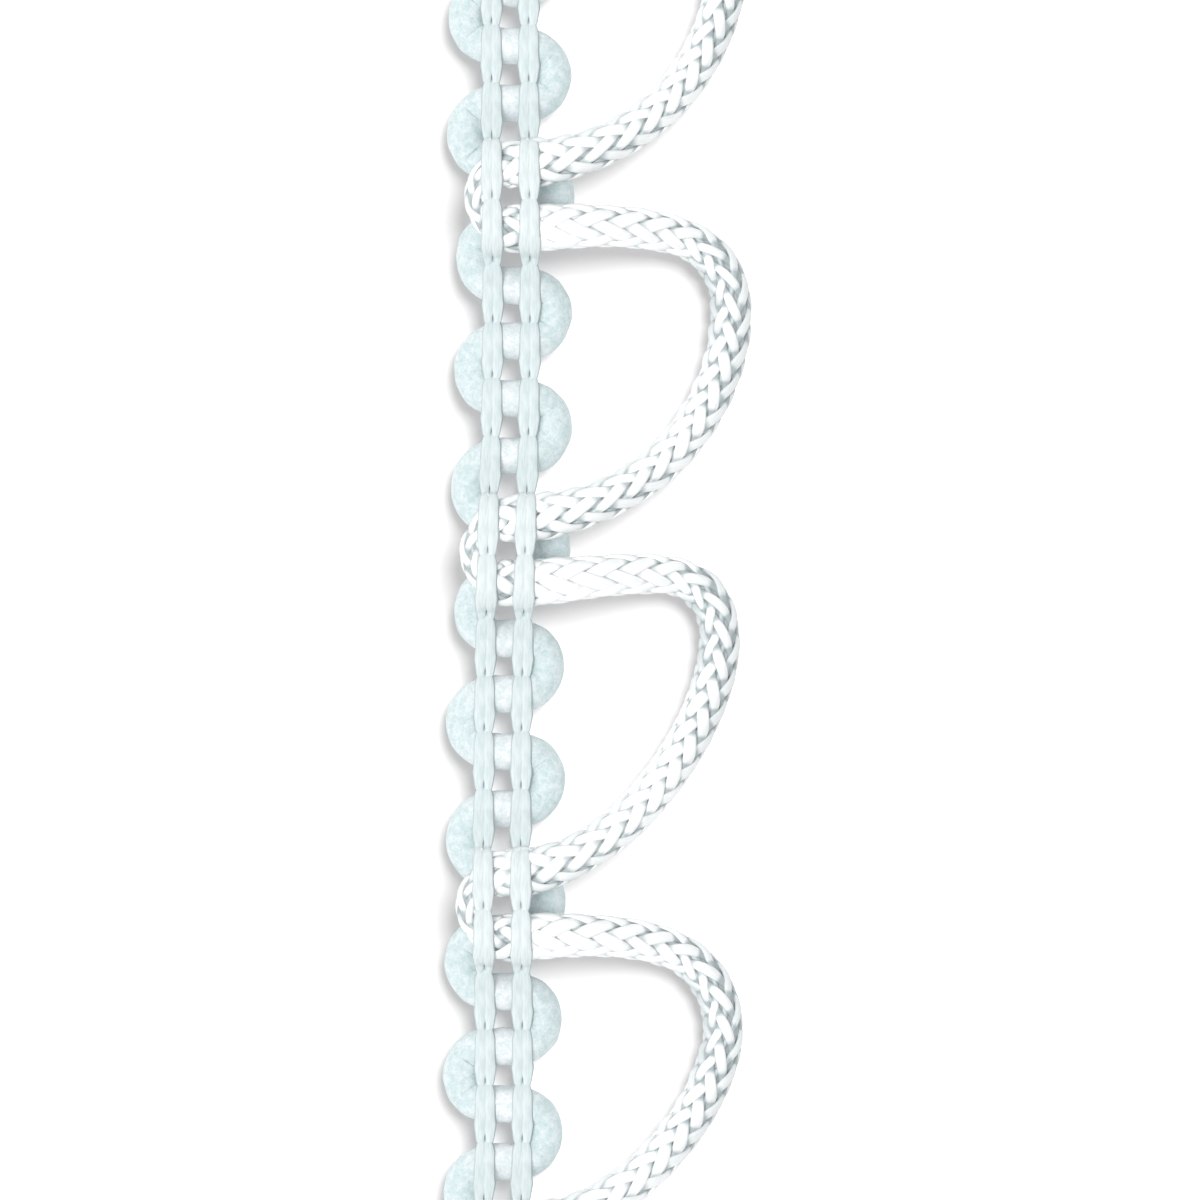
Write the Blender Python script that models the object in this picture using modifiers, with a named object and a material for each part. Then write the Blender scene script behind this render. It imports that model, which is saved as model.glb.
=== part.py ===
"""Button loop tape: a zigzag ground cord and a looping braided cord, tied by two columns of chain stitch.

The tape lies on its back on z = 0, runs along Y, and its button loops swing out towards +X.
Rows are numbered from the +Y end. All sizes are in metres.
"""

import bmesh
import bpy
import numpy as np

MM = 0.001

# Repeat of the tape: the gap below each of the six rows of one repeat
ROW_GAPS = np.array([2.60, 2.70, 2.45, 2.35, 2.45, 2.45]) * MM
REPEAT = len(ROW_GAPS)
ROWS = 28
FIRST_LOOP_ROW = 1          # the loop cord lies on this row and the next one of every repeat

# Free space between neighbouring pieces
CLEARANCE = 0.30 * MM

# Ground cord: half sizes of its section, where it is free and where the stitches press it
GROUND_HALF_WIDTH = 0.75 * MM
GROUND_BOUND_HALF_HEIGHT = 0.62 * MM
GROUND_TURN_CENTRE = 0.52 * MM      # where the half-round turns start, each side of the tape's middle
GROUND_END = 1.60 * MM

# Loop cord
LOOP_HALF_WIDTH = 0.85 * MM
LOOP_BOUND_HALF_HEIGHT = 0.65 * MM
LOOP_TURN_HALF_WIDTH = 0.62 * MM    # drawn in thinner by the stitch at its turn back
LOOP_TURN_CENTRE = -0.25 * MM
LOOP_ENDS = np.array([2.40, 1.80, 1.20, 0.60]) * MM     # points on the short runs to the two cut ends
LOOP_SWING_STEPS = 12

# One row for each button loop. exit_run, exit_lift and shoulder shape the way out to the furthest point,
# and sweep and entry_run shape the way back
LOOP_COLUMNS = ("exit_run", "exit_lift", "shoulder", "reach", "drop", "sweep", "entry_run")
LOOP_TABLE = np.array([
    (5.8, 0.40, 3.70, 9.25, 3.50, 3.20, 6.40),
    (6.0, 0.45, 3.70, 9.35, 3.50, 3.20, 6.67),
    (5.2, 0.30, 4.15, 9.15, 2.55, 3.13, 5.33),
    (5.3, 0.50, 3.90, 9.32, 4.00, 2.40, 6.00),
]) * MM

# Chain stitch columns
CHAIN_AXIS = 0.79 * MM
CHAIN_WIDTH = 0.82 * MM
CHAIN_THREAD = 0.28 * MM
CHAIN_FLAT = 0.10 * MM              # how much the back of the stitches is pressed flat by lying on it
CHAIN_STEPS = 6                     # sections along each row gap
CHAIN_TAIL = 1.20 * MM              # how far the columns run past the first and last rows

# Wander of the tape's middle line: a slight lean with a slow wave
LEAN = 0.0096
WAVE = 0.10 * MM
WAVE_LENGTH = 34.0 * MM

# Heights of the layers above the surface that the tape lies on
GROUND_BOUND_Z = CHAIN_THREAD + CLEARANCE + GROUND_BOUND_HALF_HEIGHT
GROUND_FREE_Z = 0.69 * MM
LOOP_BOUND_Z = GROUND_BOUND_Z + GROUND_BOUND_HALF_HEIGHT + CLEARANCE + LOOP_BOUND_HALF_HEIGHT
LOOP_FREE_Z = 0.77 * MM

# Where the cords come down from the tied height to the surface, measured from the tape's middle
GROUND_FALL = (1.10 * MM, 1.50 * MM)
LOOP_FALL = (2.60 * MM, 8.40 * MM)

# Where the loop cord swells to its free height again, on the loops' side and at its turns back
LOOP_SWELL_OUT = (1.20 * MM, 2.20 * MM)
LOOP_SWELL_BACK = (-0.30 * MM, -1.30 * MM)

TURN_STEPS = 8
CORD_SIDES = 10                     # with a flat side down
CUTTER_SIDES = 8
CUTTER_TURN_STEPS = 6


def row_levels():
    """Y of every row, worked down from the first and centred on the tape's middle."""
    gaps = [ROW_GAPS[row % REPEAT] for row in range(ROWS - 1)]
    levels = -np.concatenate([[0.0], np.cumsum(gaps)])
    return levels - levels[-1] / 2


ROW_Y = row_levels()
LOOP_ROWS = [row for row in range(ROWS) if row % REPEAT in (FIRST_LOOP_ROW, FIRST_LOOP_ROW + 1)]


def ease(value, start, end):
    """Smooth step: 0 up to start, 1 from end on."""
    t = np.clip((value - start) / (end - start), 0.0, 1.0)
    return t * t * (3.0 - 2.0 * t)


def middle_line(y):
    """How far the tape's middle has wandered sideways at y."""
    return LEAN * y + WAVE * np.sin(2.0 * np.pi * y / WAVE_LENGTH)


def half_turn(x, y_top, y_bottom, side, steps):
    """Half circle from one row down to the next, bulging to side (+1 right, -1 left)."""
    angle = np.linspace(np.pi / 2, -np.pi / 2, steps + 1)
    radius = (y_top - y_bottom) / 2
    middle = (y_top + y_bottom) / 2
    return np.column_stack([x + side * radius * np.cos(angle), middle + radius * np.sin(angle)])


def bezier(p0, p1, p2, p3, steps):
    """Cubic Bezier curve without its end points."""
    t = np.linspace(0.0, 1.0, steps + 1)[1:-1, None]
    p0, p1, p2, p3 = map(np.array, (p0, p1, p2, p3))
    return (1 - t) ** 3 * p0 + 3 * t * (1 - t) ** 2 * p1 + 3 * t ** 2 * (1 - t) * p2 + t ** 3 * p3


def ground_route(turn_steps):
    """Zigzag of the ground cord: a straight crossing on each row, then a half turn at alternate edges."""
    pieces = [np.array([(GROUND_END, ROW_Y[0])])]
    for row in range(ROWS - 1):
        side = 1 if row % 2 else -1
        pieces.append(half_turn(side * GROUND_TURN_CENTRE, ROW_Y[row], ROW_Y[row + 1], side, turn_steps))
    pieces.append(np.array([(GROUND_END, ROW_Y[-1])]))
    route = np.vstack(pieces)
    return route, np.full(len(route), GROUND_HALF_WIDTH)


def button_loop(row, shape):
    """One button loop, from the row where it leaves the tape to the row where it comes back."""
    y_out = ROW_Y[row]
    y_back = ROW_Y[row + REPEAT - 1]
    reach = shape["reach"]
    y_apex = y_out - shape["drop"]
    out = bezier((0.0, y_out), (shape["exit_run"], y_out + shape["exit_lift"]),
                 (reach, y_apex + shape["shoulder"]), (reach, y_apex), LOOP_SWING_STEPS)
    back = bezier((reach, y_apex), (reach, y_apex - shape["sweep"]),
                  (LOOP_TURN_CENTRE + shape["entry_run"], y_back), (LOOP_TURN_CENTRE, y_back), LOOP_SWING_STEPS)
    return np.vstack([[(0.0, y_out)], out, [(reach, y_apex)], back])


def loop_route(turn_steps):
    """Route of the loop cord and the half width of its section at each point."""
    bends = [row for row in LOOP_ROWS if row % REPEAT == FIRST_LOOP_ROW]
    points = [[(x, ROW_Y[bends[0]]) for x in LOOP_ENDS]]
    widths = [np.full(len(LOOP_ENDS), LOOP_HALF_WIDTH)]
    for number, row in enumerate(bends):
        turn = half_turn(LOOP_TURN_CENTRE, ROW_Y[row], ROW_Y[row + 1], -1, turn_steps)
        drawn_in = np.sin(np.linspace(0.0, np.pi, len(turn))) ** 0.5
        points.append(turn)
        widths.append(LOOP_HALF_WIDTH + (LOOP_TURN_HALF_WIDTH - LOOP_HALF_WIDTH) * drawn_in)
        if number < len(LOOP_TABLE):
            swing = button_loop(row + 1, dict(zip(LOOP_COLUMNS, LOOP_TABLE[number])))
            points.append(swing)
            widths.append(np.full(len(swing), LOOP_HALF_WIDTH))
    points.append([(x, ROW_Y[bends[-1] + 1]) for x in reversed(LOOP_ENDS)])
    widths.append(np.full(len(LOOP_ENDS), LOOP_HALF_WIDTH))
    return np.vstack(points), np.concatenate(widths)


def ground_heights(x):
    """Height of the ground cord's middle and its half height, by distance from the tape's middle."""
    fall = ease(np.abs(x), *GROUND_FALL)
    middle = GROUND_BOUND_Z + (GROUND_FREE_Z - GROUND_BOUND_Z) * fall
    half = GROUND_BOUND_HALF_HEIGHT + (GROUND_HALF_WIDTH - GROUND_BOUND_HALF_HEIGHT) * fall
    return middle, half


def loop_heights(x):
    """The same for the loop cord, which comes down to the surface at the loops' outer ends."""
    fall = ease(x, *LOOP_FALL)
    free = np.maximum(ease(x, *LOOP_SWELL_OUT), ease(x, *LOOP_SWELL_BACK))
    middle = LOOP_BOUND_Z + (LOOP_FREE_Z - LOOP_BOUND_Z) * fall
    half = LOOP_BOUND_HALF_HEIGHT + (LOOP_HALF_WIDTH - LOOP_BOUND_HALF_HEIGHT) * free
    return middle, half


def move_points(mesh, change):
    """Runs every vertex of a mesh through change, a function of an array of points."""
    points = np.empty(3 * len(mesh.vertices), dtype=np.float32)
    mesh.vertices.foreach_get("co", points)
    points = change(points.reshape(-1, 3).astype(float))
    mesh.vertices.foreach_set("co", points.astype(np.float32).ravel())
    mesh.update()


def cord(name, collection, route, half_widths, heights, sides=CORD_SIDES, grow=0.0):
    """A cord along a flat route, pressed to its heights and rested on z = 0. grow makes a fatter cutter."""
    corner = 1.0 if grow == 0.0 else 1.0 / np.cos(np.pi / sides)
    curve = bpy.data.curves.new(name, "CURVE")
    curve.dimensions = "3D"
    curve.twist_mode = "Z_UP"
    curve.bevel_depth = (half_widths.max() + grow) * corner
    curve.bevel_resolution = (sides - 4) // 2
    curve.use_fill_caps = True
    spline = curve.splines.new("POLY")
    spline.points.add(len(route) - 1)
    for point, (x, y), half_width in zip(spline.points, route, half_widths):
        point.co = (x, y, 0.0, 1.0)
        point.radius = (half_width + grow) * corner / curve.bevel_depth
        point.tilt = 0.0 if sides % 4 == 2 else np.pi / sides
    source = bpy.data.objects.new(name + "_curve", curve)
    collection.objects.link(source)
    mesh = bpy.data.meshes.new_from_object(source.evaluated_get(bpy.context.evaluated_depsgraph_get()))
    mesh.name = name
    bpy.data.objects.remove(source)
    weld(mesh)

    def lay(points):
        middle, half = heights(points[:, 0])
        points[:, 2] = middle + points[:, 2] / curve.bevel_depth * (half + grow) * corner
        points[:, 0] += middle_line(points[:, 1])
        if grow == 0.0:
            points[:, 2] = np.maximum(points[:, 2], 0.0)
        return points

    move_points(mesh, lay)
    return link(name, mesh, collection)


def weld(mesh):
    """Joins a converted curve's loose caps to its sides."""
    work = bmesh.new()
    work.from_mesh(mesh)
    bmesh.ops.remove_doubles(work, verts=work.verts, dist=0.001 * MM)
    bmesh.ops.recalc_face_normals(work, faces=work.faces)
    work.to_mesh(mesh)
    work.free()


def link(name, mesh, collection):
    """Adds an object for a finished mesh."""
    piece = bpy.data.objects.new(name, mesh)
    collection.objects.link(piece)
    return piece


def stitch_outline(y):
    """Lowest and highest points of a stitch column at y: one thread outside the cords' sections."""
    around = CLEARANCE + CHAIN_THREAD
    low = np.full_like(y, GROUND_BOUND_Z)
    high = np.full_like(y, GROUND_BOUND_Z)
    for row, level in enumerate(ROW_Y):
        cords = [(GROUND_BOUND_Z, GROUND_HALF_WIDTH, GROUND_BOUND_HALF_HEIGHT)]
        if row in LOOP_ROWS:
            cords.append((LOOP_BOUND_Z, LOOP_HALF_WIDTH, LOOP_BOUND_HALF_HEIGHT))
        for middle, half_width, half_height in cords:
            across = np.clip(np.abs(y - level) / (half_width + around), 0.0, 1.0)
            rise = (half_height + around) * np.sqrt(1.0 - across ** 2)
            covered = across < 1.0
            low = np.where(covered, np.minimum(low, middle - rise * (1.0 + CHAIN_FLAT / half_height)), low)
            high = np.where(covered, np.maximum(high, middle + rise), high)
    return np.maximum(low, 0.0), high


def chain(name, collection, axis, cutters):
    """One column of chain stitch: a wavy strip along Y with a tunnel for every cord that it ties."""
    ends = (ROW_Y[0] + CHAIN_TAIL, ROW_Y[-1] - CHAIN_TAIL)
    stops = np.concatenate([[ends[0]], ROW_Y, [ends[1]]])
    y = np.interp(np.linspace(0, len(stops) - 1, (len(stops) - 1) * CHAIN_STEPS + 1), range(len(stops)), stops)
    low, high = stitch_outline(y)
    work = bmesh.new()
    bmesh.ops.create_grid(work, x_segments=len(y) - 1, y_segments=1, size=0.5)
    mesh = bpy.data.meshes.new(name)
    work.to_mesh(mesh)
    work.free()

    def stand_up(points):
        section = np.rint((points[:, 0] + 0.5) * (len(y) - 1)).astype(int)
        upper = points[:, 1] > 0.0
        across = axis + middle_line(y[section])
        return np.column_stack([across, y[section], np.where(upper, high[section], low[section])])

    move_points(mesh, stand_up)
    column = link(name, mesh, collection)
    thickness = column.modifiers.new("width", "SOLIDIFY")
    thickness.thickness = CHAIN_WIDTH
    thickness.offset = 0.0
    for cutter in cutters:
        tunnel = column.modifiers.new("tunnels_" + cutter.name, "BOOLEAN")
        tunnel.object = cutter
        tunnel.operation = "DIFFERENCE"
        tunnel.solver = "EXACT"
    flats = column.modifiers.new("flats", "DECIMATE")
    flats.decimate_type = "DISSOLVE"
    flats.angle_limit = np.radians(2.0)
    return column


def finish(name, colour, roughness):
    """A plain yarn finish."""
    material = bpy.data.materials.new(name)
    material.use_nodes = True
    shader = material.node_tree.nodes["Principled BSDF"]
    shader.inputs["Base Color"].default_value = (*colour, 1.0)
    shader.inputs["Roughness"].default_value = roughness
    shader.inputs["Metallic"].default_value = 0.0
    return material


def centre_on_origin(pieces, guides):
    """Moves everything so that the middle of the tape's footprint is at the origin."""
    bpy.context.view_layer.update()
    corners = [piece.matrix_world @ vertex.co for piece in pieces for vertex in piece.data.vertices]
    x = [corner.x for corner in corners]
    y = [corner.y for corner in corners]
    for piece in pieces + guides:
        piece.location = (-(min(x) + max(x)) / 2, -(min(y) + max(y)) / 2, 0.0)


def build():
    for old in list(bpy.data.objects):
        bpy.data.objects.remove(old)
    tape = bpy.data.collections.new("button_loop_tape")
    guides = bpy.data.collections.new("cutters")
    bpy.context.scene.collection.children.link(tape)
    bpy.context.scene.collection.children.link(guides)

    ground = cord("ground_cord", tape, *ground_route(TURN_STEPS), ground_heights)
    loops = cord("loop_cord", tape, *loop_route(TURN_STEPS), loop_heights)
    cutters = [
        cord("ground_room", guides, *ground_route(CUTTER_TURN_STEPS), ground_heights, CUTTER_SIDES, CLEARANCE),
        cord("loop_room", guides, *loop_route(CUTTER_TURN_STEPS), loop_heights, CUTTER_SIDES, CLEARANCE),
    ]
    for cutter in cutters:
        cutter.hide_render = True
        cutter.display_type = "WIRE"
    left = chain("chain_left", tape, -CHAIN_AXIS, cutters)
    right = chain("chain_right", tape, CHAIN_AXIS, cutters)

    ground.data.materials.append(finish("soft_cord", (0.80, 0.88, 0.87), 0.95))
    loops.data.materials.append(finish("braided_cord", (0.90, 0.92, 0.92), 0.35))
    stitch = finish("stitch_yarn", (0.85, 0.92, 0.92), 0.55)
    left.data.materials.append(stitch)
    right.data.materials.append(stitch)
    centre_on_origin([ground, loops, left, right], cutters)


build()
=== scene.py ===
"""Looks of the button loop tape: soft zigzag cord, braided loop cord and two columns of chain stitch.

Every yarn is a surface worked out with numpy: a path, and a section carried along it. Sizes are in metres.
"""

import bpy
import numpy as np
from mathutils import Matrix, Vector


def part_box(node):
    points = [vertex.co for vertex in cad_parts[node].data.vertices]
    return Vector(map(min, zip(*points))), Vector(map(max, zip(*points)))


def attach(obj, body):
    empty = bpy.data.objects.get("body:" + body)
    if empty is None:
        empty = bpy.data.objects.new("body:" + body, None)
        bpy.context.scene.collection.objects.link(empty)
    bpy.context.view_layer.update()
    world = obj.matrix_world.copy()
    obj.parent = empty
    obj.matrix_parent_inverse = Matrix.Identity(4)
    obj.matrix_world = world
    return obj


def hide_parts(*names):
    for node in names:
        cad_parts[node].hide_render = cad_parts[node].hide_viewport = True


MM = 0.001

# Layout of the tape, the same as the solids have
ROW_GAPS = np.array([2.60, 2.70, 2.45, 2.35, 2.45, 2.45]) * MM
REPEAT = len(ROW_GAPS)
ROWS = 28
FIRST_LOOP_ROW = 1
LEAN = 0.0096
WAVE = 0.10 * MM
WAVE_LENGTH = 34.0 * MM

# Soft ground cord
GROUND_HALF_WIDTH = 0.80 * MM
GROUND_FREE_Z = 0.80 * MM
GROUND_BOUND_Z = 1.06 * MM
GROUND_BOUND_HALF_HEIGHT = 0.72 * MM
GROUND_TURN_CENTRE = 0.49 * MM
GROUND_END = 1.60 * MM
GROUND_FALL = (1.05 * MM, 1.60 * MM)
# How much further out each side turn bulges, turn by turn from the top, as uneven as in the photograph
GROUND_BULGE = np.array([
    0.05, -0.05, 0.10, 0.00, 0.13, 0.08, 0.13, 0.05, -0.13,
    0.12, -0.08, 0.12, -0.12, 0.05, -0.32, 0.10, -0.08, 0.16,
    -0.16, 0.05, 0.00, 0.00, 0.10, 0.00, -0.06, 0.08, -0.04,
]) * MM
GROUND_ROUNDING = 0.12 * MM         # how far the corners of its route are rounded
GROUND_STEP = 0.11 * MM
GROUND_ROUND = 44
GROUND_RELIEF = 0.011 * MM
# Share, width in cells and seed of each of its two random reliefs
GROUND_GRAINS = ((1.0, 1.1, 3), (0.8, 3.0, 4))
GROUND_CROSSING = (0.70 * MM, 1.30 * MM)    # from the tape's middle, where its pale crossing fades into the painted shade of the side turns
STITCH_PINCH = 0.020 * MM           # how deep the stitches press into the cord,
PINCH_REACH = 0.30 * MM             # and how far to their sides

# Braided loop cord
LOOP_HALF_WIDTH = 0.93 * MM
LOOP_FLATTER = 0.09 * MM            # how much wider it is by the tape, where the stitches press it flat,
LOOP_FLATTER_COMES = (4.0 * MM, 1.5 * MM)       # and where that begins and is full
LOOP_EXIT_LOWER = 0.15 * MM         # how far it slips below the middle of its row where it leaves the tape,
LOOP_ENTRY_LOWER = 0.07 * MM        # and where it comes back
LOOP_TURN_CENTRE = -0.01 * MM
LOOP_TURN = (LOOP_TURN_CENTRE, LOOP_TURN_CENTRE - 1.1 * MM)     # where it draws together to turn back
LOOP_TURN_HALF_WIDTH = 0.66 * MM
LOOP_TURN_FLATTER = 0.20 * MM
LOOP_TURN_DROOP = 0.45 * MM         # how far it droops there, over the tape's left edge
LOOP_DROOP = (LOOP_TURN_CENTRE - 0.5 * MM, LOOP_TURN_CENTRE - 1.4 * MM)
FULL_BEND = 0.22                    # a full bend, as half width over radius
BEND_SPREAD = 1.5 * MM              # how far to both sides a bend is evened out
LOOP_BENT_NARROWER = 0.12 * MM      # how much narrower it draws in a full bend,
LOOP_BENT_OUT = 0.10 * MM           # and how far it slides outwards
LOOP_BOUND_HALF_HEIGHT = 0.78 * MM
LOOP_BOUND_Z = 2.64 * MM
LOOP_FREE_Z = 0.90 * MM
LOOP_FALL = (2.60 * MM, 8.40 * MM)
LOOP_SWELL_OUT = (1.20 * MM, 2.20 * MM)
LOOP_SWELL_BACK = (-0.30 * MM, -1.30 * MM)
LOOP_END = 2.40 * MM
LOOP_ROUNDING = 0.25 * MM
LOOP_COLUMNS = ("exit_run", "exit_lift", "shoulder", "reach", "drop", "sweep", "entry_run")
LOOP_TABLE = np.array([
    (5.8, 0.40, 3.70, 9.25, 3.50, 3.20, 6.40),
    (6.0, 0.45, 3.70, 9.35, 3.50, 3.20, 6.67),
    (5.2, 0.30, 4.15, 9.15, 2.55, 3.13, 5.33),
    (5.3, 0.50, 3.90, 9.32, 4.00, 2.40, 6.00),
]) * MM

# Sixteen-strand braid, two over and two under
STRANDS = 8                         # each way round
BRAID_LEAD = 10.2 * MM
CROSSINGS = 4.0                     # how often a strand goes over and under in a turn round the cord
STRAND_HALF_WIDTH = 0.285 * MM
STRAND_HALF_THICKNESS = 0.110 * MM
STRAND_WAVE = 0.090 * MM
STRAND_WIDER = 0.12                 # how much wider a strand is where it lies on top
# Size, length, and shift from strand to strand, of each sine that makes the strands' width uneven
STRAND_UNEVEN = ((0.07, 0.83 * MM, 2.4), (0.05, 0.37 * MM, -5.1))
STRAND_STEP = 0.105 * MM
STRAND_ROUND = 8
BRAID_TWIST = 0.36                  # turns the rows of gaps round the cord to where they show, in radians,
BRAID_UNTWIST = 0.36                # and how much of that is gone where the cord runs back
# Size in radians, length and start of each slow sine that swings those rows
BRAID_DRIFTS = ((0.07, 11.0 * MM, 0.0), (0.04, 4.3 * MM, 1.0))
BEND_LAG = 1.20 * MM                # how far along the cord the strands pass a bend on
PACKED = 0.38                       # how far they crowd towards the inside of a full bend, in radians
OPENED = 0.14                       # how much narrower they draw on its outside,
LOOSE_SIDE = 0.10                   # and on the loops' outer side also where the cord runs straight
BUNCHED = 0.30                      # how much narrower and thicker they are on its inside,
SCALLOP = 0.16 * MM                 # and how far they bulge as they pass the inmost line of a button loop,
SCALLOP_SHARPNESS = 32
CORE_SHARE = 0.74                   # filler yarn inside, as a share of the cord's half width
CORE_ROUND = 16
CORE_EVERY = 3                      # steps of the cord for each of the filler's

# Painted shade on the strands: how they turn grey, as shares of full grey
DIVE_HALFWAY = 0.55                 # how much of its grey a diving strand has halfway down,
DIVE_HALFWAY_BENT = 0.35            # how much more of it in a bend,
DIVE_SLOPE = 1.9                    # and how fast the rest comes
DIP_STRAIGHT = 0.22                 # how grey the strands turn where they dive, on a straight stretch,
DIP_BENT = 0.85                     # and how much greyer in a bend:
DIP_ALL_ROUND = 0.75                # this share of it all round, and the rest on its outside
DIP_LOOSE = 0.40                    # how much greyer on the loops' outer side everywhere,
LOOSE_SLOTS = (0.40, 0.80)          # which begins and is full at these cosines
OUTER_SHADE = 0.40                  # how much greyer the braid's whole outside is in a bend,
INNER_SHADE = 0.58                  # and its inmost edge,
INMOST = (0.60, 0.95)               # which begins and is full at these cosines
SHADE_LAG = 3.20 * MM               # how far past a bend its shade runs on
SHADE_RISE = 0.6                    # power by which it grows with the bend
TURN_SHADE = 0.60                   # share of that shade at the turns back

# Chain stitches
CHAIN_AXIS = 0.79 * MM
CHAIN_TAIL = 1.15 * MM
STITCH_EMERGES = 1.30 * MM          # below the row before, where each stitch comes up
STITCH_HEAD = 1.74 * MM             # below its own row, where it closes round the next
STITCH_SAG = 0.22 * MM
STITCH_SUNK = 0.045 * MM            # how deep the stitches lie in the soft cord
STITCH_CLEAR = 0.012 * MM           # how far they keep above what they lie on
STITCH_DIP = 0.12 * MM              # how far a stitch dips where it comes up,
HEAD_DIP = 0.05 * MM                # and at its head,
DIP_REACH = 0.30 * MM               # each over this length
# Share of the way down; how far each leg lies from the column, and its half width, in millimetres
STITCH_SHAPE = np.array([
    (0.00, 0.00, 0.14),
    (0.05, 0.09, 0.16),
    (0.10, 0.12, 0.19),
    (0.16, 0.14, 0.24),
    (0.24, 0.15, 0.28),
    (0.60, 0.17, 0.28),
    (0.69, 0.19, 0.30),
    (0.78, 0.195, 0.25),
    (0.86, 0.205, 0.20),
    (0.92, 0.19, 0.175),
    (0.965, 0.15, 0.15),
    (0.985, 0.10, 0.13),
    (1.00, 0.00, 0.12),
])
YARN_HALF_WIDTH = 0.20 * MM
YARN_HALF_THICKNESS = 0.045 * MM
YARN_ABOVE = 0.4                    # how much of its half thickness a stitch's middle lies above the cord
BACK_Z = 0.19 * MM                  # straight yarn at the back, under the rows
BACK_RISE = 0.45 * MM               # and between them
BACK_STEPS = 20                     # a row
YARN_ROUND = 8
STITCH_STEPS = 72
ON_LOOP_CORD = (2.4 * MM, 3.2 * MM)     # heights between which a stitch takes the tone of the loop cord

# The photograph: how many millimetres it spans, and where its middle lies on the tape
PHOTO_SPAN = 51.06 * MM
PHOTO_MIDDLE_FROM_AXIS = 4.01 * MM
PHOTO_ROW = 14
PHOTO_MIDDLE_BELOW_ROW = 0.81 * MM
LENS = 200.0
SENSOR = 36.0

# Tones, as linear red, green and blue
WHITE = (1.0, 1.0, 1.0)
SOFT_DARK = (0.78, 0.856, 0.861)
SOFT_LIGHT = (0.93, 0.95, 0.97)
SOFT_SPECKLE = (0.86, 0.88, 0.90)
SOFT_TURN_SHADE = (0.83, 0.90, 0.90)      # painted shade: how much of the tone is left on the side turns
STITCH_DARK = (0.64, 0.715, 0.725)
STITCH_LIGHT = (0.75, 0.81, 0.82)
STITCH_LOW = (0.92, 0.95, 0.95)     # how much of that is left off the loop cord
# Strands: grey painted shade where they dive, white on top, and streaks of their filaments
STRAND_DIP_SHADE = (0.42, 0.47, 0.48)
STRAND_TOP = (0.97, 0.98, 0.98)
STRAND_STREAK = (0.90, 0.93, 0.94)
# Filler: its grey is painted shade, the shade inside the braid
CORE_DARK = (0.38, 0.42, 0.43)
CORE_LIGHT = (0.52, 0.56, 0.57)
FLOOR_TONE = (0.60, 0.59, 0.59)
FLOOR_GLOW_TONE = (1.0, 0.98, 0.98)

# Patterns: noise cells a metre
SOFT_PATCHES = 3.2 / MM
SOFT_FLUFF = 9.0 / MM
# How far a yarn's own UV map is stretched round it and along it, and the noise cells a unit of that
STRAND_FILAMENTS = (14.0, 0.8)
CORE_FIBRES = (20.0, 0.5)
STITCH_FILAMENTS = (9.0, 0.8)
YARN_CELLS = 2.0
# Between which values of a pattern, or of the painted shade or tone a piece keeps at its points, the tone
# goes from dark to light
PATCH_TONES = (0.40, 0.62)
SPECKLE_TONES = (0.30, 0.62)
STREAK_TONES = (0.35, 0.60)
FIBRE_TONES = (0.35, 0.65)
DIVE_SHADE_TONES = (0.10, 0.90)
WHOLE_RANGE = (0.0, 1.0)
# Strength and depth of the relief in each finish
FLUFF_RELIEF = (0.7, 0.03 * MM)
STRAND_RELIEF = (0.4, 0.015 * MM)
STITCH_RELIEF = (0.3, 0.01 * MM)

# Light
SKY = 0.50
FLOOR_SIZE = 4.0
FLOOR_GLOW = 0.26
# Each sun's strength, its spread and its tilts about x and about y in degrees, and what it lights
SUNS = {
    "shadow_sun": (4.4, 34.0, -20.0, 20.0, "floor"),
    "yarn_sun": (1.55, 40.0, 4.0, -14.0, "yarns"),
    "low_sun_below": (0.30, 50.0, 60.0, 0.0, "yarns"),
    "low_sun_above": (0.45, 50.0, -60.0, 0.0, "yarns"),
    "low_sun_left": (0.60, 50.0, 0.0, -60.0, "loop cord and stitches"),
    "soft_sun_left": (0.25, 50.0, 0.0, -60.0, "soft cord"),
    "low_sun_right": (0.15, 50.0, 0.0, 60.0, "yarns"),
    "braid_sun": (0.60, 30.0, 0.0, -5.0, "strands"),
}

UP = np.array([0.0, 0.0, 1.0])
FULL_TURN = 2.0 * np.pi
SAME_POINT = 1e-9                   # two points of a route nearer than this are one
GAUSS_REACH = 3                     # how many widths to each side a rounding Gaussian reaches


def row_levels():
    """Y of every row, worked down from the first and centred on the tape's middle."""
    gaps = [ROW_GAPS[row % REPEAT] for row in range(ROWS - 1)]
    levels = -np.concatenate([[0.0], np.cumsum(gaps)])
    return levels - levels[-1] / 2


ROW_Y = row_levels()
LOOP_ROWS = [row for row in range(ROWS) if row % REPEAT in (FIRST_LOOP_ROW, FIRST_LOOP_ROW + 1)]
BENDS = [row for row in LOOP_ROWS if row % REPEAT == FIRST_LOOP_ROW]


def ease(value, start, end):
    """Smooth step 3t^2 - 2t^3: 0 up to start, 1 from end on."""
    t = np.clip((value - start) / (end - start), 0.0, 1.0)
    return t * t * (3.0 - 2.0 * t)


def unit(vectors):
    """The vectors at length 1."""
    return vectors / np.linalg.norm(vectors, axis=-1, keepdims=True)


def middle_line(y):
    """How far the tape's middle has wandered sideways at y: a lean plus a slow sine."""
    return LEAN * y + WAVE * np.sin(FULL_TURN * y / WAVE_LENGTH)


def on_tape(x, y, z):
    """Places points given from the tape's middle line into the world."""
    return np.stack([x + middle_line(y) + TAPE_X, y, z], axis=-1)


def half_turn(x, y_top, y_bottom, side, steps=24):
    """Half circle from one row down to the next, bulging to side (+1 right, -1 left)."""
    angle = np.linspace(np.pi / 2, -np.pi / 2, steps + 1)
    radius = (y_top - y_bottom) / 2
    level = (y_top + y_bottom) / 2
    return np.column_stack([x + side * radius * np.cos(angle), level + radius * np.sin(angle)])


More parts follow.
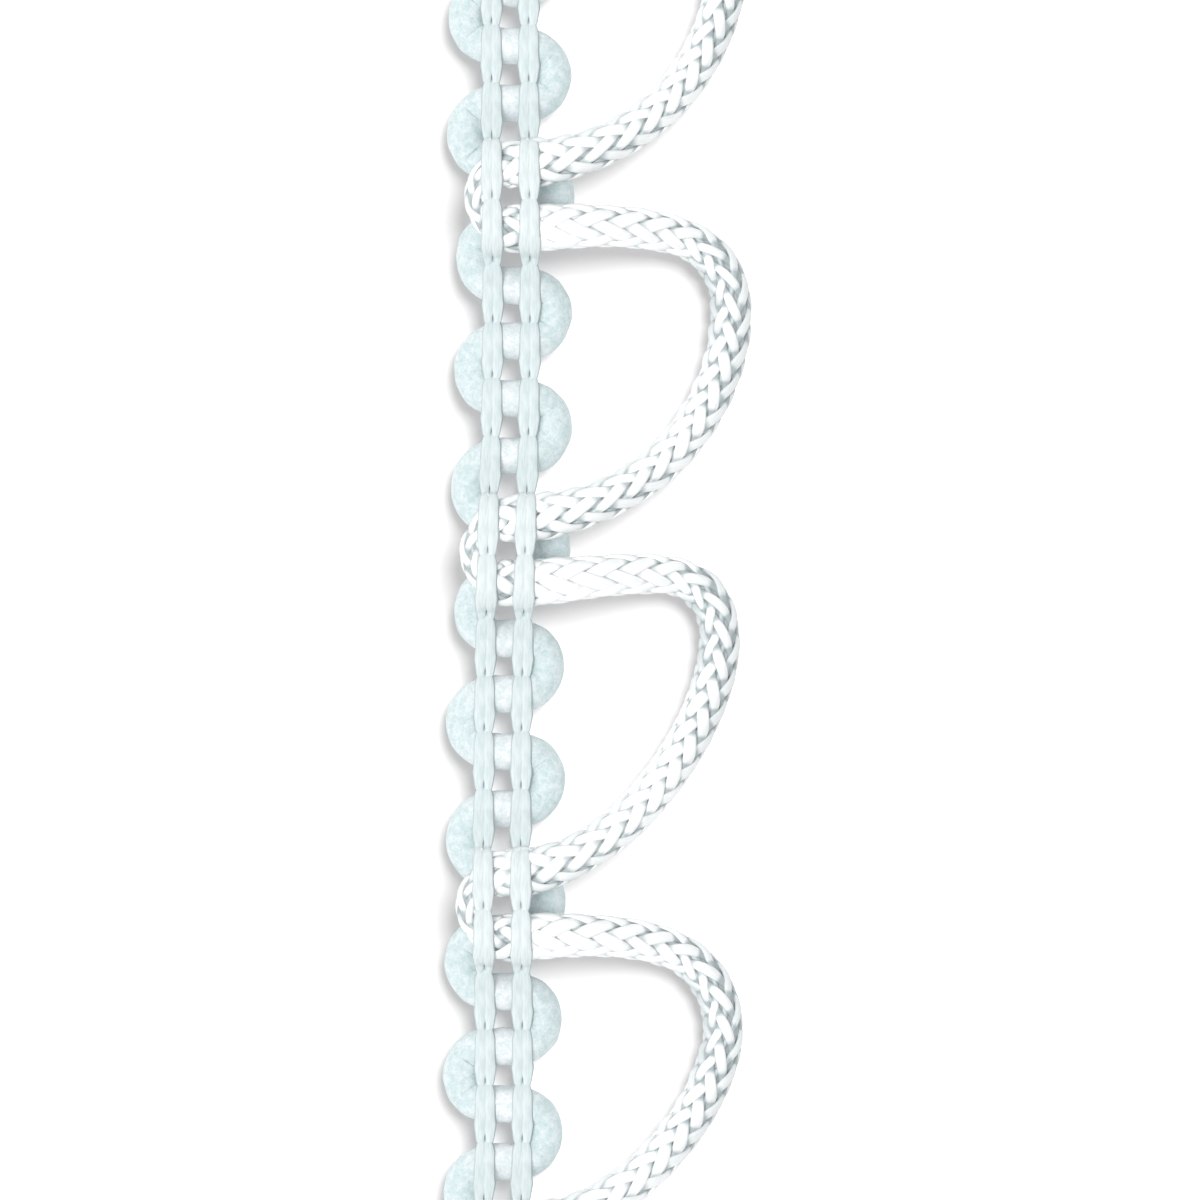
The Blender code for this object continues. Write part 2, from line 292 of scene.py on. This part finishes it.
def bezier(p0, p1, p2, p3, steps=48):
    """Cubic Bezier curve."""
    t = np.linspace(0.0, 1.0, steps + 1)[:, None]
    p0, p1, p2, p3 = map(np.array, (p0, p1, p2, p3))
    return (1 - t) ** 3 * p0 + 3 * t * (1 - t) ** 2 * p1 + 3 * t ** 2 * (1 - t) * p2 + t ** 3 * p3


def button_loop(row, shape):
    """One button loop: out along its row to the furthest point, then back to where it is tied again."""
    y_out = ROW_Y[row] - LOOP_EXIT_LOWER
    y_back = ROW_Y[row + REPEAT - 1] - LOOP_ENTRY_LOWER
    reach = shape["reach"]
    y_apex = y_out - shape["drop"]
    out = bezier((0.0, y_out), (shape["exit_run"], y_out + shape["exit_lift"]),
                 (reach, y_apex + shape["shoulder"]), (reach, y_apex))
    back = bezier((reach, y_apex), (reach, y_apex - shape["sweep"]),
                  (LOOP_TURN_CENTRE + shape["entry_run"], y_back), (LOOP_TURN_CENTRE, y_back))
    return np.vstack([out, back])


def even(path, step, smooth):
    """The path at even steps of its length, rounded by a Gaussian of the given width."""
    moved = np.linalg.norm(np.diff(path, axis=0), axis=1) > SAME_POINT
    path = path[np.concatenate([[True], moved])]
    for width in (smooth, 0.0):
        length = np.concatenate([[0.0], np.cumsum(np.linalg.norm(np.diff(path, axis=0), axis=1))])
        count = int(round(length[-1] / step)) + 1
        at = np.linspace(0.0, length[-1], count)
        path = np.column_stack([np.interp(at, length, axis) for axis in path.T])
        reach = int(GAUSS_REACH * width / step)
        if reach:
            window = np.exp(-0.5 * (np.arange(-reach, reach + 1) * step / width) ** 2)
            window /= window.sum()
            first = 2 * path[0] - path[reach:0:-1]
            last = 2 * path[-1] - path[-2:-reach - 2:-1]
            padded = np.vstack([first, path, last])
            path = np.column_stack([np.convolve(axis, window, "valid") for axis in padded.T])
    return path


def ground_line():
    """Zigzag of the ground cord in the plane."""
    pieces = [[(GROUND_END, ROW_Y[0])]]
    for row in range(ROWS - 1):
        side = 1 if row % 2 else -1
        centre = side * (GROUND_TURN_CENTRE + GROUND_BULGE[row])
        pieces.append(half_turn(centre, ROW_Y[row], ROW_Y[row + 1], side))
    pieces.append([(GROUND_END, ROW_Y[-1])])
    return even(np.vstack(pieces), GROUND_STEP, GROUND_ROUNDING)


def loop_line():
    """Route of the loop cord in the plane: turns back over the left edge and, between them, button loops."""
    pieces = [[(LOOP_END, ROW_Y[BENDS[0]] - LOOP_ENTRY_LOWER)]]
    for number, row in enumerate(BENDS):
        y_in = ROW_Y[row] - LOOP_ENTRY_LOWER
        y_out = ROW_Y[row + 1] - LOOP_EXIT_LOWER
        pieces.append(half_turn(LOOP_TURN_CENTRE, y_in, y_out, -1))
        if number < len(LOOP_TABLE):
            pieces.append(button_loop(row + 1, dict(zip(LOOP_COLUMNS, LOOP_TABLE[number]))))
    pieces.append([(LOOP_END, ROW_Y[BENDS[-1] + 1] - LOOP_EXIT_LOWER)])
    return even(np.vstack(pieces), STRAND_STEP, LOOP_ROUNDING)


def directions(path):
    """Unit tangent, level side and upward side of a path (last axis xyz, next to last along it)."""
    along = unit(np.gradient(path, axis=-2))
    side = unit(np.cross(along, UP))
    return along, side, np.cross(side, along)


def section(middle, across, out, half_width, half_height, turn):
    """Oval carried along a path: middle + across * width * cos(turn) + out * height * sin(turn)."""
    return (middle[..., None, :] + across[..., None, :] * (half_width * np.cos(turn))[..., None]
            + out[..., None, :] * (half_height * np.sin(turn))[..., None])


def grain(shape, spread, seed):
    """Smooth random relief: white noise blurred by a Gaussian of so many cells, with a deviation of 1."""
    rng = np.random.default_rng(seed)
    down = np.fft.fftfreq(shape[0])[:, None]
    across = np.fft.fftfreq(shape[1])[None, :]
    blur = np.exp(-2.0 * (np.pi * spread) ** 2 * (down ** 2 + across ** 2))
    relief = np.fft.ifft2(np.fft.fft2(rng.standard_normal(shape)) * blur).real
    return relief / relief.std()


def tube_uv(rings):
    """UV of the corners of a sleeve's side faces: the way round in U (0 to 1), and in V the distance
    along the middle of the rings (millimetres)."""
    tubes, _, points, _ = rings.shape
    run = np.linalg.norm(np.diff(rings.mean(axis=2), axis=1), axis=-1)
    run = np.concatenate([np.zeros((tubes, 1)), np.cumsum(run, axis=1)], axis=1) / MM
    turn = np.arange(points) / points
    u = np.stack([turn, turn + 1 / points, turn + 1 / points, turn], axis=-1)
    v = np.stack([run[:, :-1], run[:, :-1], run[:, 1:], run[:, 1:]], axis=-1)[:, :, None, :]
    return np.stack(np.broadcast_arrays(u, v), axis=-1).reshape(-1, 2)


def sleeve(name, rings, material, shade_and_tone=None):
    """A mesh of closed tubes. rings has axes tube, step along, point round, xyz; each end is closed by
    one face. shade_and_tone, with axes tube and step, is kept at the points for the material: painted
    shade on the cords, and on the stitches the tone of the cord below."""
    tubes, steps, points, _ = rings.shape
    corner = np.arange(tubes * steps * points).reshape(tubes, steps, points)
    after = np.roll(corner, -1, axis=2)
    quads = np.stack([corner[:, :-1], after[:, :-1], after[:, 1:], corner[:, 1:]], axis=-1)
    quads = quads.reshape(-1, 4)
    caps = np.concatenate([corner[:, 0, ::-1], corner[:, -1, :]])
    mesh = bpy.data.meshes.new(name)
    mesh.vertices.add(corner.size)
    mesh.vertices.foreach_set("co", rings.astype(np.float32).ravel())
    index = np.concatenate([quads.ravel(), caps.ravel()])
    mesh.loops.add(len(index))
    mesh.loops.foreach_set("vertex_index", index.astype(np.int32))
    starts = np.concatenate([np.arange(len(quads)) * 4, quads.size + np.arange(len(caps)) * points])
    mesh.polygons.add(len(starts))
    mesh.polygons.foreach_set("loop_start", starts.astype(np.int32))
    mesh.update(calc_edges=True)

    layer = mesh.uv_layers.new(name="along")
    uv = np.vstack([tube_uv(rings), np.zeros((caps.size, 2))])
    layer.data.foreach_set("uv", uv.astype(np.float32).ravel())
    mesh.polygons.foreach_set("use_smooth", np.repeat([True, False], [len(quads), len(caps)]))
    if shade_and_tone is not None:
        kept_shade_and_tone = mesh.attributes.new("shade_and_tone", "FLOAT", "POINT")
        kept_shade_and_tone.data.foreach_set("value", np.repeat(shade_and_tone, points, axis=1).astype(np.float32).ravel())
    mesh.materials.append(material)
    mesh.validate()
    piece = bpy.data.objects.new(name, mesh)
    bpy.context.scene.collection.objects.link(piece)
    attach(piece, "root")
    return piece


def ground_cord(material):
    """Soft cord: an ellipse carried along the zigzag, pinched under the stitches by a Gaussian, with a
    soft random relief. It keeps painted shade at its points: 1, no shade, where it crosses the tape, and
    0, full painted shade, on the side turns."""
    line = ground_line()
    from_middle = np.abs(line[:, 0])
    fall = ease(from_middle, *GROUND_FALL)
    z = GROUND_BOUND_Z + (GROUND_FREE_Z - GROUND_BOUND_Z) * fall
    half_height = GROUND_BOUND_HALF_HEIGHT + (GROUND_HALF_WIDTH - GROUND_BOUND_HALF_HEIGHT) * fall
    pinch = STITCH_PINCH * np.exp(-((from_middle - CHAIN_AXIS) / PINCH_REACH) ** 2)
    path = on_tape(line[:, 0], line[:, 1], z)
    _, side, up = directions(path)
    turn = np.linspace(0.0, FULL_TURN, GROUND_ROUND, endpoint=False)
    cells = (len(path), GROUND_ROUND)
    grains = [share * grain(cells, spread, seed) for share, spread, seed in GROUND_GRAINS]
    relief = GROUND_RELIEF * sum(grains)
    wide = (GROUND_HALF_WIDTH - pinch)[:, None] + relief
    high = (half_height - pinch)[:, None] + relief
    rings = section(path, side, up, wide, high, turn)
    rings[..., 2] = np.maximum(rings[..., 2], 0.0)
    # Painted shade on the side turns: 1 where the cord crosses the tape, 0 on the turns
    crossing = 1.0 - ease(from_middle, *GROUND_CROSSING)
    piece = sleeve("soft_ground_cord", rings[None, :, ::-1], material, crossing[None])
    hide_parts("ground_cord")
    return piece


def bend(path):
    """How sharply a path turns to its right, a metre: its heading's change, evened by a Hann window."""
    along_x, along_y = np.gradient(path[:, :2], axis=0).T
    heading = np.unwrap(np.arctan2(along_y, along_x))
    steps = int(BEND_SPREAD / STRAND_STEP)
    window = np.hanning(2 * steps + 1)
    turning = np.pad(np.gradient(heading, STRAND_STEP), steps, mode="edge")
    return -np.convolve(turning, window / window.sum(), "valid")


def loop_path():
    """The loop cord's middle in space, and the half width and half height of its section. In a bend it
    slides outwards and draws narrower, at the turns back it is small and droops, and by the tape it is
    pressed flat."""
    line = loop_line()
    bent = np.clip(bend(line) * LOOP_HALF_WIDTH / FULL_BEND, 0.0, 1.0)
    step = np.gradient(line, axis=0) / STRAND_STEP
    line = line + LOOP_BENT_OUT * bent[:, None] * np.column_stack([-step[:, 1], step[:, 0]])
    x = line[:, 0]
    free = np.maximum(ease(x, *LOOP_SWELL_OUT), ease(x, *LOOP_SWELL_BACK))
    turned = ease(x, *LOOP_TURN)
    half_width = LOOP_HALF_WIDTH + (LOOP_TURN_HALF_WIDTH - LOOP_HALF_WIDTH) * turned
    half_width += LOOP_FLATTER * (1.0 - turned) * ease(x, *LOOP_FLATTER_COMES)
    half_width -= LOOP_BENT_NARROWER * bent * free
    half_height = LOOP_BOUND_HALF_HEIGHT + (LOOP_HALF_WIDTH - LOOP_BOUND_HALF_HEIGHT) * free
    half_height -= LOOP_TURN_FLATTER * turned
    z = LOOP_BOUND_Z + (LOOP_FREE_Z - LOOP_BOUND_Z) * ease(x, *LOOP_FALL)
    z -= LOOP_TURN_DROOP * ease(x, *LOOP_DROOP)
    return on_tape(x, line[:, 1], z), half_width, half_height


def strand_bend(path, half_width, along):
    """How sharply the strands feel the cord bend, as a share of a full bend: a button loop's bend
    (positive) reaches them a little late, a turn back (negative) at once."""
    bent = np.clip(bend(path) * half_width / FULL_BEND, -1.0, 1.0)
    return np.interp(along - BEND_LAG, along, np.maximum(bent, 0.0)) + np.minimum(bent, 0.0)


def strand_angles(hand, start, along, heading_x, bent):
    """Every strand's angle round the cord, and how far it lies over (1) or under (-1) those it crosses.
    The angle grows evenly along the cord, and over is a cosine of four waves a turn. Then the whole braid
    is turned by a twist that shrinks as the heading swings round to the left, plus two slow sines, and in
    a bend every angle is drawn towards the inside by its sine."""
    angle = hand * FULL_TURN * along / BRAID_LEAD + start
    over = hand * np.cos(CROSSINGS * angle - np.pi / 4)
    settle = BRAID_TWIST - BRAID_UNTWIST * (1.0 - heading_x) / 2
    for size, length, begin in BRAID_DRIFTS:
        settle = settle + size * np.sin(along / length + begin)
    angle = angle + settle
    return angle - PACKED * bent * np.sin(angle), over


def strand_painted_shade(angle, over, along, bent):
    """Each point's painted shade: 1, no shade, where a strand lies on top. It is less, so darker, where the
    strand dives, above all in a bend and on the loops' outer side; on the outside of a bend, a while past
    it too; and at the bend's inmost edge."""
    late = np.interp(along - SHADE_LAG, along, np.maximum(bent, 0.0))
    opened = np.maximum(np.maximum(bent, -TURN_SHADE * bent), late) ** SHADE_RISE
    inwards = np.where(np.abs(bent) > late, np.sign(bent), 1.0) * np.cos(angle)
    outer = opened * (1.0 - inwards) / 2
    inmost = np.maximum(bent, 0.0) * ease(inwards, *INMOST)
    dive = np.clip(DIVE_HALFWAY + DIVE_HALFWAY_BENT * opened - DIVE_SLOPE * over, 0.0, 1.0)
    slots = DIP_LOOSE * ease(-np.cos(angle), *LOOSE_SLOTS)
    in_bend = DIP_ALL_ROUND * opened + (1.0 - DIP_ALL_ROUND) * outer
    grey = (DIP_STRAIGHT + DIP_BENT * in_bend + slots) * dive
    return 1.0 - grey - OUTER_SHADE * outer - INNER_SHADE * inmost


def braid_strands(hand):
    """Eight strands that wind one way (hand +1 or -1) round the loop cord, as rings, and their painted
    shade. A strand's distance from the cord's middle swings with over, so it goes over two and under two.
    In a bend the strands are narrower on both sides, thicker on the inside and bulging at its inmost line,
    by a high power of a cosine."""
    path, half_width, half_height = loop_path()
    heading, side, up = directions(path)
    along = np.arange(len(path)) * STRAND_STEP
    start = FULL_TURN * np.arange(STRANDS)[:, None] / STRANDS
    bent = strand_bend(path, half_width, along)
    angle, over = strand_angles(hand, start, along, heading[:, 0], bent)

    outside = np.abs(bent) * (1.0 - np.sign(bent) * np.cos(angle)) / 2
    inside = np.abs(bent) - outside
    inset = STRAND_WAVE + STRAND_HALF_THICKNESS
    inmost = ((1.0 + np.cos(angle)) / 2) ** SCALLOP_SHARPNESS
    bulge = SCALLOP * np.maximum(over, 0.0) * np.maximum(bent, 0.0) * inmost
    wide = half_width - inset + STRAND_WAVE * over + bulge
    high = half_height - inset + STRAND_WAVE * over
    out = side * np.cos(angle)[..., None] + up * np.sin(angle)[..., None]
    sideways = side * (wide * np.cos(angle))[..., None]
    middle = path + sideways + up * (high * np.sin(angle))[..., None]
    along_strand = unit(np.gradient(middle, axis=1))
    across = unit(np.cross(out, along_strand))
    out = np.cross(along_strand, across)

    squeeze = (half_width / LOOP_HALF_WIDTH)[None, :]
    loose = LOOSE_SIDE * (1.0 - np.cos(angle)) / 2
    sines = [size * np.sin(along / length + shift * start) for size, length, shift in STRAND_UNEVEN]
    fullness = 1.0 + STRAND_WIDER * over - OPENED * outside - BUNCHED * inside - loose + sum(sines)
    half = STRAND_HALF_WIDTH * fullness * squeeze
    thick = STRAND_HALF_THICKNESS * (1.0 + 2.0 * BUNCHED * inside)
    turn = np.linspace(0.0, FULL_TURN, STRAND_ROUND, endpoint=False)
    rings = section(middle, across, out, half[..., None], thick[..., None], turn)
    rings[..., 2] = np.maximum(rings[..., 2], 0.0)
    return rings, strand_painted_shade(angle, over, along, bent)


def braid_core():
    """Filler inside the braid: an ellipse carried along the loop cord."""
    path, half_width, half_height = (part[::CORE_EVERY] for part in loop_path())
    _, side, up = directions(path)
    turn = np.linspace(FULL_TURN, 0.0, CORE_ROUND, endpoint=False)
    wide = CORE_SHARE * half_width[:, None]
    high = CORE_SHARE * half_height[:, None]
    return section(path, side, up, wide, high, turn)[None]


def front_of_cords(y):
    """Height of the front of the tied cords along a stitch column: the highest ellipse over each row, and
    between the rows a straight line from top to top that sags like sin^2."""
    tops = np.full(ROWS, GROUND_BOUND_Z + GROUND_BOUND_HALF_HEIGHT)
    tops[LOOP_ROWS] = LOOP_BOUND_Z + LOOP_BOUND_HALF_HEIGHT
    slip = np.zeros(ROWS)
    slip[LOOP_ROWS] = -LOOP_ENTRY_LOWER
    slip[[row + 1 for row in BENDS]] = -LOOP_EXIT_LOWER
    front = np.interp(-y, -ROW_Y, tops)
    front = front - STITCH_SAG * np.sin(np.pi * np.interp(-y, -ROW_Y, np.arange(ROWS))) ** 2
    ground = (GROUND_BOUND_Z, GROUND_HALF_WIDTH, GROUND_BOUND_HALF_HEIGHT - STITCH_SUNK)
    loop = (LOOP_BOUND_Z, LOOP_HALF_WIDTH + LOOP_FLATTER, LOOP_BOUND_HALF_HEIGHT)
    for row, level in enumerate(ROW_Y):
        cords = [(level, *ground)]
        if row in LOOP_ROWS:
            cords.append((level + slip[row], *loop))
        for axis, middle, half_width, half_height in cords:
            across = np.clip(np.abs(y - axis) / (half_width + YARN_HALF_THICKNESS), 0.0, 1.0)
            top = half_height + YARN_ABOVE * YARN_HALF_THICKNESS
            rise = middle + top * np.sqrt(1.0 - across ** 2)
            front = np.where(across < 1.0, np.maximum(front, rise), front)
    return front


def stitch_fronts(axis):
    """The front of one column, and the half width of its yarn. A stitch goes down one leg and up the
    other: y is cos(t), and the legs' distance and width are read from STITCH_SHAPE. Two Gaussians press
    it down where it comes up and at its head, which lies under the next stitch's legs."""
    down, offset, half_width = STITCH_SHAPE.T
    top = np.append(ROW_Y[0] + CHAIN_TAIL, ROW_Y[:-1] - STITCH_EMERGES)[:, None]
    bottom = np.maximum(ROW_Y - STITCH_HEAD, ROW_Y[-1] - CHAIN_TAIL)[:, None]
    t = np.linspace(0.0, FULL_TURN, STITCH_STEPS + 1)
    share = (1.0 - np.cos(t)) / 2
    y = top + (bottom - top) * share
    x = axis + np.sign(np.sin(t)) * np.interp(share, down, offset) * MM
    comes_up = np.exp(-((y - top) / DIP_REACH) ** 2)
    head = np.exp(-((y - bottom) / DIP_REACH) ** 2)
    z = front_of_cords(y) + STITCH_CLEAR - STITCH_DIP * comes_up - HEAD_DIP * head
    return on_tape(np.broadcast_to(x, y.shape), y, z), np.interp(share, down, half_width) * MM


def stitch_back(axis):
    """The straight yarn at the back of one column: low under every row, higher between them, as sin^2."""
    y = np.linspace(ROW_Y[0] + CHAIN_TAIL, ROW_Y[-1] - CHAIN_TAIL, BACK_STEPS * ROWS)
    place = np.interp(-y, -ROW_Y, np.arange(ROWS))
    z = BACK_Z + BACK_RISE * np.sin(np.pi * place) ** 2
    return on_tape(np.full_like(y, axis), y, z)[None], np.full_like(y, YARN_HALF_WIDTH)


def ribbon(middle, half_width):
    """Flat oval section, of half_width at each step, carried along paths (axes path, step, xyz), flat
    side up."""
    _, across, out = directions(middle)
    turn = np.linspace(FULL_TURN, 0.0, YARN_ROUND, endpoint=False)
    return section(middle, across, out, half_width[:, None], YARN_HALF_THICKNESS, turn)


def set_values(made, **values):
    """Sets a node's inputs; _ in a name stands for a space."""
    for socket, value in values.items():
        made.inputs[socket.replace("_", " ")].default_value = value


def new_material(name):
    """A material with its node tree and its shader."""
    material = bpy.data.materials.new(name)
    material.use_nodes = True
    return material, material.node_tree, material.node_tree.nodes["Principled BSDF"]


def node(tree, kind, **values):
    """A new node with these values at its inputs."""
    made = tree.nodes.new(kind)
    set_values(made, **values)
    return made


def noise(tree, coordinates, scale, detail=2.0):
    """Fine noise on the given coordinates."""
    made = node(tree, "ShaderNodeTexNoise", Scale=scale, Detail=detail)
    tree.links.new(coordinates, made.inputs["Vector"])
    return made.outputs["Fac"]


def between(tree, factor, low, high, dark, light):
    """Colour that goes from dark to light as the factor goes from low to high."""
    ramp = tree.nodes.new("ShaderNodeValToRGB")
    for end, position, tone in zip(ramp.color_ramp.elements, (low, high), (dark, light)):
        end.position = position
        end.color = (*tone, 1.0)
    tree.links.new(factor, ramp.inputs["Fac"])
    return ramp.outputs["Color"]


def multiply(tree, first, second):
    """The product of two colours."""
    mix = tree.nodes.new("ShaderNodeMix")
    mix.data_type = "RGBA"
    mix.blend_type = "MULTIPLY"
    mix.inputs["Factor"].default_value = 1.0
    tree.links.new(first, mix.inputs["A"])
    tree.links.new(second, mix.inputs["B"])
    return mix.outputs["Result"]


def bump(tree, shader, height, strength, distance):
    """Presses a height into the shader's normal."""
    relief = node(tree, "ShaderNodeBump", Strength=strength, Distance=distance)
    tree.links.new(height, relief.inputs["Height"])
    tree.links.new(relief.outputs["Normal"], shader.inputs["Normal"])


def own_shade_and_tone(tree):
    """The value that a piece keeps at its points: painted shade on the cords, and on the stitches the tone
    of the cord below.
    """
    shade_and_tone = tree.nodes.new("ShaderNodeAttribute")
    shade_and_tone.attribute_name = "shade_and_tone"
    return shade_and_tone.outputs["Fac"]


def yarn_noise(tree, across, along):
    """Noise on the piece's own UV map, so many cells round the yarn and so many a millimetre along it."""
    uv = tree.nodes.new("ShaderNodeUVMap")
    uv.uv_map = "along"
    mapping = node(tree, "ShaderNodeMapping", Scale=(across, along, 1.0))
    tree.links.new(uv.outputs["UV"], mapping.inputs["Vector"])
    return noise(tree, mapping.outputs["Vector"], YARN_CELLS)


def soft_cord_finish():
    """Matt spun cord, icy white, paler where it crosses the tape and with painted shade on its side turns:
    patches of two tones a few tenths of a millimetre wide, and finer fluff."""
    material, tree, shader = new_material("soft_spun_cord")
    place = tree.nodes.new("ShaderNodeTexCoord").outputs["Object"]
    patches = noise(tree, place, SOFT_PATCHES, detail=3.0)
    fluff = noise(tree, place, SOFT_FLUFF)
    tone = between(tree, patches, *PATCH_TONES, SOFT_DARK, SOFT_LIGHT)
    speckle = between(tree, fluff, *SPECKLE_TONES, SOFT_SPECKLE, WHITE)
    shade = between(tree, own_shade_and_tone(tree), *WHOLE_RANGE, SOFT_TURN_SHADE, WHITE)
    tree.links.new(multiply(tree, multiply(tree, tone, speckle), shade), shader.inputs["Base Color"])
    set_values(shader, Roughness=0.95, Specular_IOR_Level=0.2, Sheen_Weight=0.25, Sheen_Roughness=0.5)
    bump(tree, shader, fluff, *FLUFF_RELIEF)
    return material


def filament_finish():
    """Bright filament strands: white where a strand lies on top and painted shade, grey, where it dives,
    fine filaments along it, and a satin gloss drawn out across them."""
    material, tree, shader = new_material("bright_filament")
    shade = between(tree, own_shade_and_tone(tree), *DIVE_SHADE_TONES, STRAND_DIP_SHADE, STRAND_TOP)
    filaments = yarn_noise(tree, *STRAND_FILAMENTS)
    streaks = between(tree, filaments, *STREAK_TONES, STRAND_STREAK, WHITE)
    tree.links.new(multiply(tree, shade, streaks), shader.inputs["Base Color"])
    set_values(shader, Roughness=0.42, Metallic=0.2, Anisotropic=0.85)
    tangent = tree.nodes.new("ShaderNodeTangent")
    tangent.direction_type = "UV_MAP"
    tangent.uv_map = "along"
    tree.links.new(tangent.outputs["Tangent"], shader.inputs["Tangent"])
    bump(tree, shader, filaments, *STRAND_RELIEF)
    return material


def core_finish():
    """Dull filler yarn, painted grey for the shade inside the braid."""
    material, tree, shader = new_material("core_yarn")
    tone = between(tree, yarn_noise(tree, *CORE_FIBRES), *FIBRE_TONES, CORE_DARK, CORE_LIGHT)
    tree.links.new(tone, shader.inputs["Base Color"])
    set_values(shader, Roughness=0.8)
    return material


def stitch_finish():
    """Fine clear filament yarn that takes the tone of the cord below it: paler on the loop cord."""
    material, tree, shader = new_material("clear_stitch_yarn")
    filaments = yarn_noise(tree, *STITCH_FILAMENTS)
    tone = between(tree, filaments, *FIBRE_TONES, STITCH_DARK, STITCH_LIGHT)
    shade = between(tree, own_shade_and_tone(tree), *WHOLE_RANGE, STITCH_LOW, WHITE)
    tree.links.new(multiply(tree, tone, shade), shader.inputs["Base Color"])
    set_values(shader, Roughness=0.5)
    bump(tree, shader, filaments, *STITCH_RELIEF)
    return material


def stage():
    """Pale floor, lit a little from below as on a light table."""
    bpy.ops.mesh.primitive_plane_add(size=FLOOR_SIZE)
    floor = bpy.context.object
    floor.name = "floor"
    material, _, shader = new_material("pale_floor")
    set_values(shader, Base_Color=(*FLOOR_TONE, 1.0), Roughness=0.9, Specular_IOR_Level=0.1)
    set_values(shader, Emission_Color=(*FLOOR_GLOW_TONE, 1.0), Emission_Strength=FLOOR_GLOW)
    floor.data.materials.append(material)
    return floor


def sun(name, energy, spread, tilt_x, tilt_y, receivers):
    """A sun that lights only the given objects. It is tilted from straight down about x and about y."""
    light = bpy.data.lights.new(name, "SUN")
    light.energy = energy
    light.angle = np.radians(spread)
    lamp = bpy.data.objects.new(name, light)
    lamp.rotation_euler = (np.radians(tilt_x), np.radians(tilt_y), 0.0)
    bpy.context.scene.collection.objects.link(lamp)
    lit = bpy.data.collections.new(name + "_lights")
    for receiver in receivers:
        lit.objects.link(receiver)
    lamp.light_linking.receiver_collection = lit


def lights(floor, pieces):
    """Soft sky; one sun at the upper right throws the short soft shadows on the floor. Another, tilted to
    the left, and weak low ones on all sides, as from a light tent, brighten the yarns up to their edges,
    as in the photograph. The soft cord, the first of the pieces, has a weaker low one at its left, and
    one more adds to the braid's gloss alone."""
    world = bpy.data.worlds.new("studio")
    world.use_nodes = True
    set_values(world.node_tree.nodes["Background"], Color=(*WHITE, 1.0), Strength=SKY)
    bpy.context.scene.world = world
    receivers = {
        "floor": [floor],
        "yarns": pieces,
        "soft cord": pieces[:1],
        "loop cord and stitches": pieces[1:],
        "strands": [piece for piece in pieces if piece.name.startswith("braid_strands")],
    }
    for name, (energy, spread, tilt_x, tilt_y, lit) in SUNS.items():
        sun(name, energy, spread, tilt_x, tilt_y, receivers[lit])


def camera():
    """Looks straight down, framed as the photograph is."""
    lens = bpy.data.cameras.new("camera")
    lens.lens = LENS
    lens.sensor_width = SENSOR
    lens.clip_start = 0.01
    lens.clip_end = 10.0
    eye = bpy.data.objects.new("camera", lens)
    y = ROW_Y[PHOTO_ROW] - PHOTO_MIDDLE_BELOW_ROW
    x = TAPE_X + middle_line(y) + PHOTO_MIDDLE_FROM_AXIS
    eye.location = (x, y, LOOP_FREE_Z + PHOTO_SPAN * LENS / SENSOR)
    bpy.context.scene.collection.objects.link(eye)
    bpy.context.scene.camera = eye


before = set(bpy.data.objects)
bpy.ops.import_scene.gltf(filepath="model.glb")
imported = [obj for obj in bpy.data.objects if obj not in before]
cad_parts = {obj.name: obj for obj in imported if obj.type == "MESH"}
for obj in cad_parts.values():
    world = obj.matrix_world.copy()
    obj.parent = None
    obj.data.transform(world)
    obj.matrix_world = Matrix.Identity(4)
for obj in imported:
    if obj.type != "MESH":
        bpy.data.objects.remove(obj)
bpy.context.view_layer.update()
TAPE_X = (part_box("chain_left")[0].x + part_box("chain_right")[1].x) / 2

pieces = [ground_cord(soft_cord_finish())]

bright = filament_finish()
for word, hand in (("right", 1), ("left", -1)):
    rings, shade_and_tone = braid_strands(hand)
    strands = sleeve("braid_strands_" + word, rings, bright, shade_and_tone)
    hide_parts("loop_cord")
    pieces.append(strands)
core = sleeve("braid_core", braid_core(), core_finish())
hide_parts("loop_cord")
pieces.append(core)

clear = stitch_finish()
for word, axis in (("left", -CHAIN_AXIS), ("right", CHAIN_AXIS)):
    for part, path in (("fronts", stitch_fronts(axis)), ("back", stitch_back(axis))):
        kept_shade_and_tone = ease(path[0][..., 2], *ON_LOOP_CORD)
        stitches = sleeve("stitch_" + part + "_" + word, ribbon(*path), clear, kept_shade_and_tone)
        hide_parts("chain_" + word)
        pieces.append(stitches)

camera()
lights(stage(), pieces)
bpy.context.scene.view_settings.view_transform = "Standard"
